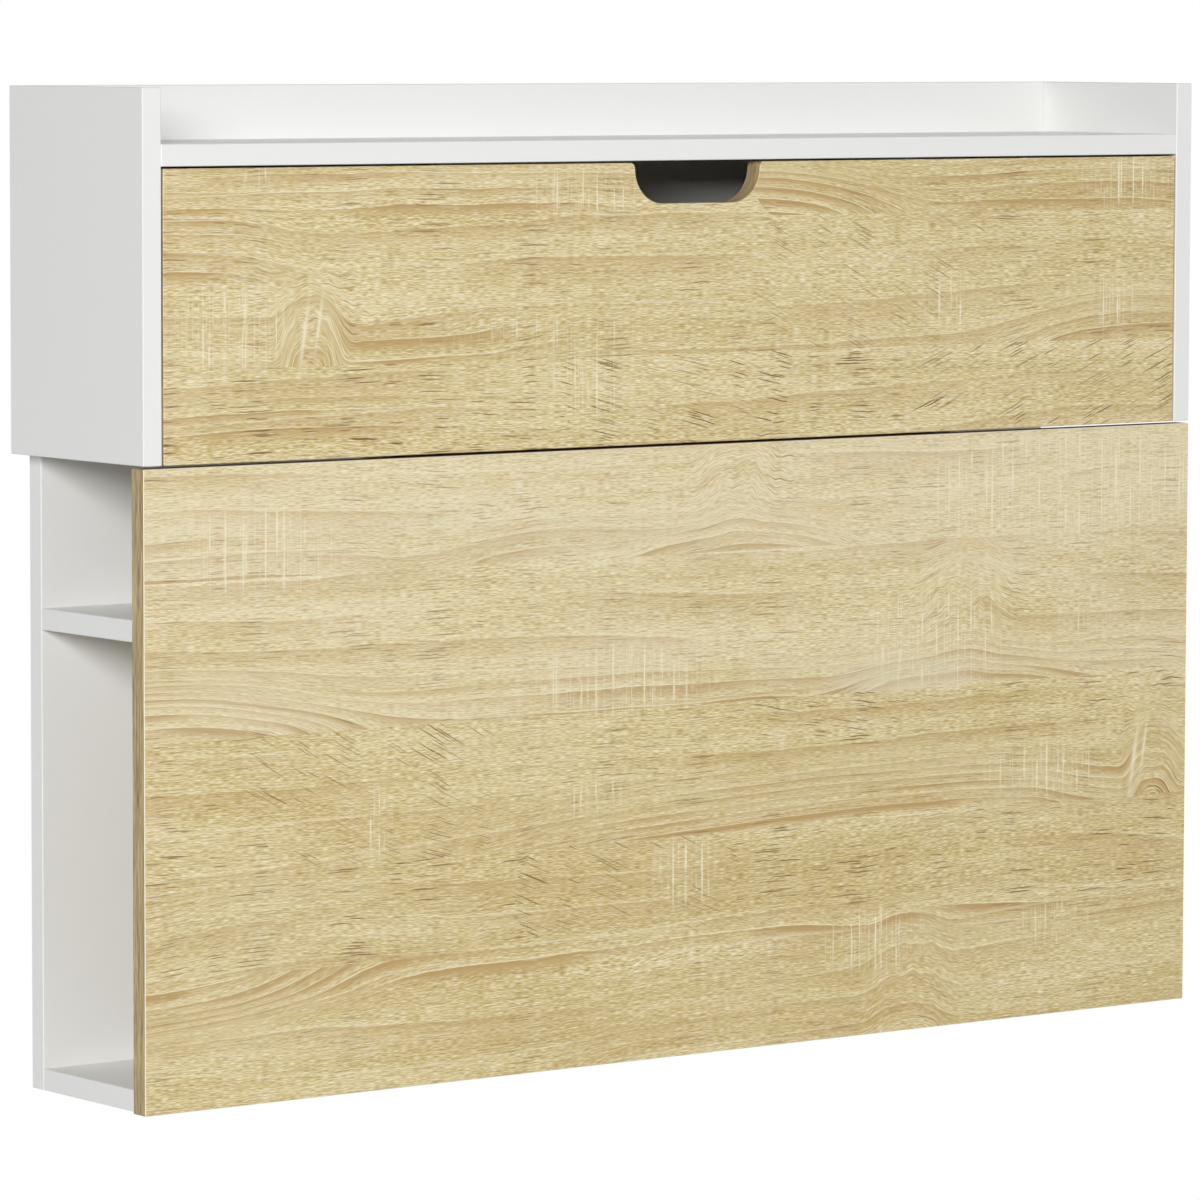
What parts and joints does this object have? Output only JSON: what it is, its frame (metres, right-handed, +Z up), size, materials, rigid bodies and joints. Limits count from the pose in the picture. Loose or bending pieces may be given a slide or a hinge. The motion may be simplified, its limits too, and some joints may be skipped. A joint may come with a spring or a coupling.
{
  "type": "fold down wall desk",
  "caption": "Wall-hung desk: shallow cabinet with a drop flap and gallery top over open shelves closed by a fold-down desk panel on slotted stays.",
  "frame": {"origin": "centre of the four wall fixing holes, on the wall plane", "axes": "+X to the right across the desk, +Y into the wall, +Z up"},
  "size_m": [0.94, 0.168, 0.698],
  "materials": {
    "white_melamine": "white melamine faced board, matte",
    "oak_laminate": "sawn oak laminate, satin",
    "zinc_steel": "zinc plated steel",
    "white_plastic": "moulded white plastic",
    "grey_nylon": "grey nylon",
    "dark_magnet": "sintered magnet between steel poles"
  },
  "bodies": {
    "root": {"back_board": "white_melamine", "bottom_board": "white_melamine", "cabinet_floor": "white_melamine", "top_board": "white_melamine", "side_panel_left": "white_melamine", "side_panel_right": "white_melamine", "divider_left": "white_melamine", "divider_right": "white_melamine", "shelf_left": "white_melamine", "shelf_centre": "white_melamine", "shelf_right": "white_melamine", "desk_hinge_fixed_leaves": "zinc_steel", "desk_hinge_pins": "zinc_steel", "flap_pivot_pins": "zinc_steel", "desk_catches": "white_plastic", "flap_catches": "white_plastic", "desk_magnets": "dark_magnet", "flap_magnets": "dark_magnet", "desk_guide_left": "zinc_steel", "desk_guide_right": "zinc_steel", "flap_guide_left": "zinc_steel", "flap_guide_right": "zinc_steel", "desk_guide_spacers": "white_plastic", "flap_guide_spacers": "white_plastic"},
    "desk_leaf": {"desk_panel": "oak_laminate", "desk_hinge_moving_leaves": "zinc_steel", "desk_bracket_left": "zinc_steel", "desk_bracket_right": "zinc_steel", "desk_stay_rivets": "zinc_steel", "desk_strikes": "zinc_steel"},
    "flap": {"flap_door": "oak_laminate", "flap_pivot_bushes": "grey_nylon", "flap_bracket_left": "zinc_steel", "flap_bracket_right": "zinc_steel", "flap_stay_rivets": "zinc_steel", "flap_strikes": "zinc_steel"},
    "desk_stay_left": {"desk_arm_left": "zinc_steel", "desk_guide_pin_left": "zinc_steel"},
    "desk_stay_right": {"desk_arm_right": "zinc_steel", "desk_guide_pin_right": "zinc_steel"},
    "flap_stay_left": {"flap_arm_left": "zinc_steel", "flap_guide_pin_left": "zinc_steel"},
    "flap_stay_right": {"flap_arm_right": "zinc_steel", "flap_guide_pin_right": "zinc_steel"}
  },
  "joints": [
    {"name": "desk_fold", "type": "hinge", "parent": "root", "child": "desk_leaf", "pos_m": [0, -0.1491, -0.3214], "axis": [1, 0, 0], "range_deg": [0, 90]},
    {"name": "flap_drop", "type": "hinge", "parent": "root", "child": "flap", "pos_m": [0, -0.1605, 0.122], "axis": [1, 0, 0], "range_deg": [0, 90]},
    {"name": "desk_stay_left_swing", "type": "hinge", "parent": "desk_leaf", "child": "desk_stay_left", "pos_m": [-0.24225, -0.141, -0.20166], "axis": [1, 0, 0], "range_deg": [-132, 0]},
    {"name": "desk_stay_right_swing", "type": "hinge", "parent": "desk_leaf", "child": "desk_stay_right", "pos_m": [0.24225, -0.141, -0.20166], "axis": [1, 0, 0], "range_deg": [-132, 0]},
    {"name": "flap_stay_left_swing", "type": "hinge", "parent": "flap", "child": "flap_stay_left", "pos_m": [-0.44725, -0.144, 0.18397], "axis": [1, 0, 0], "range_deg": [-128, 0]},
    {"name": "flap_stay_right_swing", "type": "hinge", "parent": "flap", "child": "flap_stay_right", "pos_m": [0.44725, -0.144, 0.18397], "axis": [1, 0, 0], "range_deg": [-128, 0]}
  ],
  "couplings": [
    {"joint": "desk_stay_left_swing", "follows": "desk_fold", "ratio": -1.4667},
    {"joint": "desk_stay_right_swing", "follows": "desk_fold", "ratio": -1.4667},
    {"joint": "flap_stay_left_swing", "follows": "flap_drop", "ratio": -1.4222},
    {"joint": "flap_stay_right_swing", "follows": "flap_drop", "ratio": -1.4222}
  ]
}
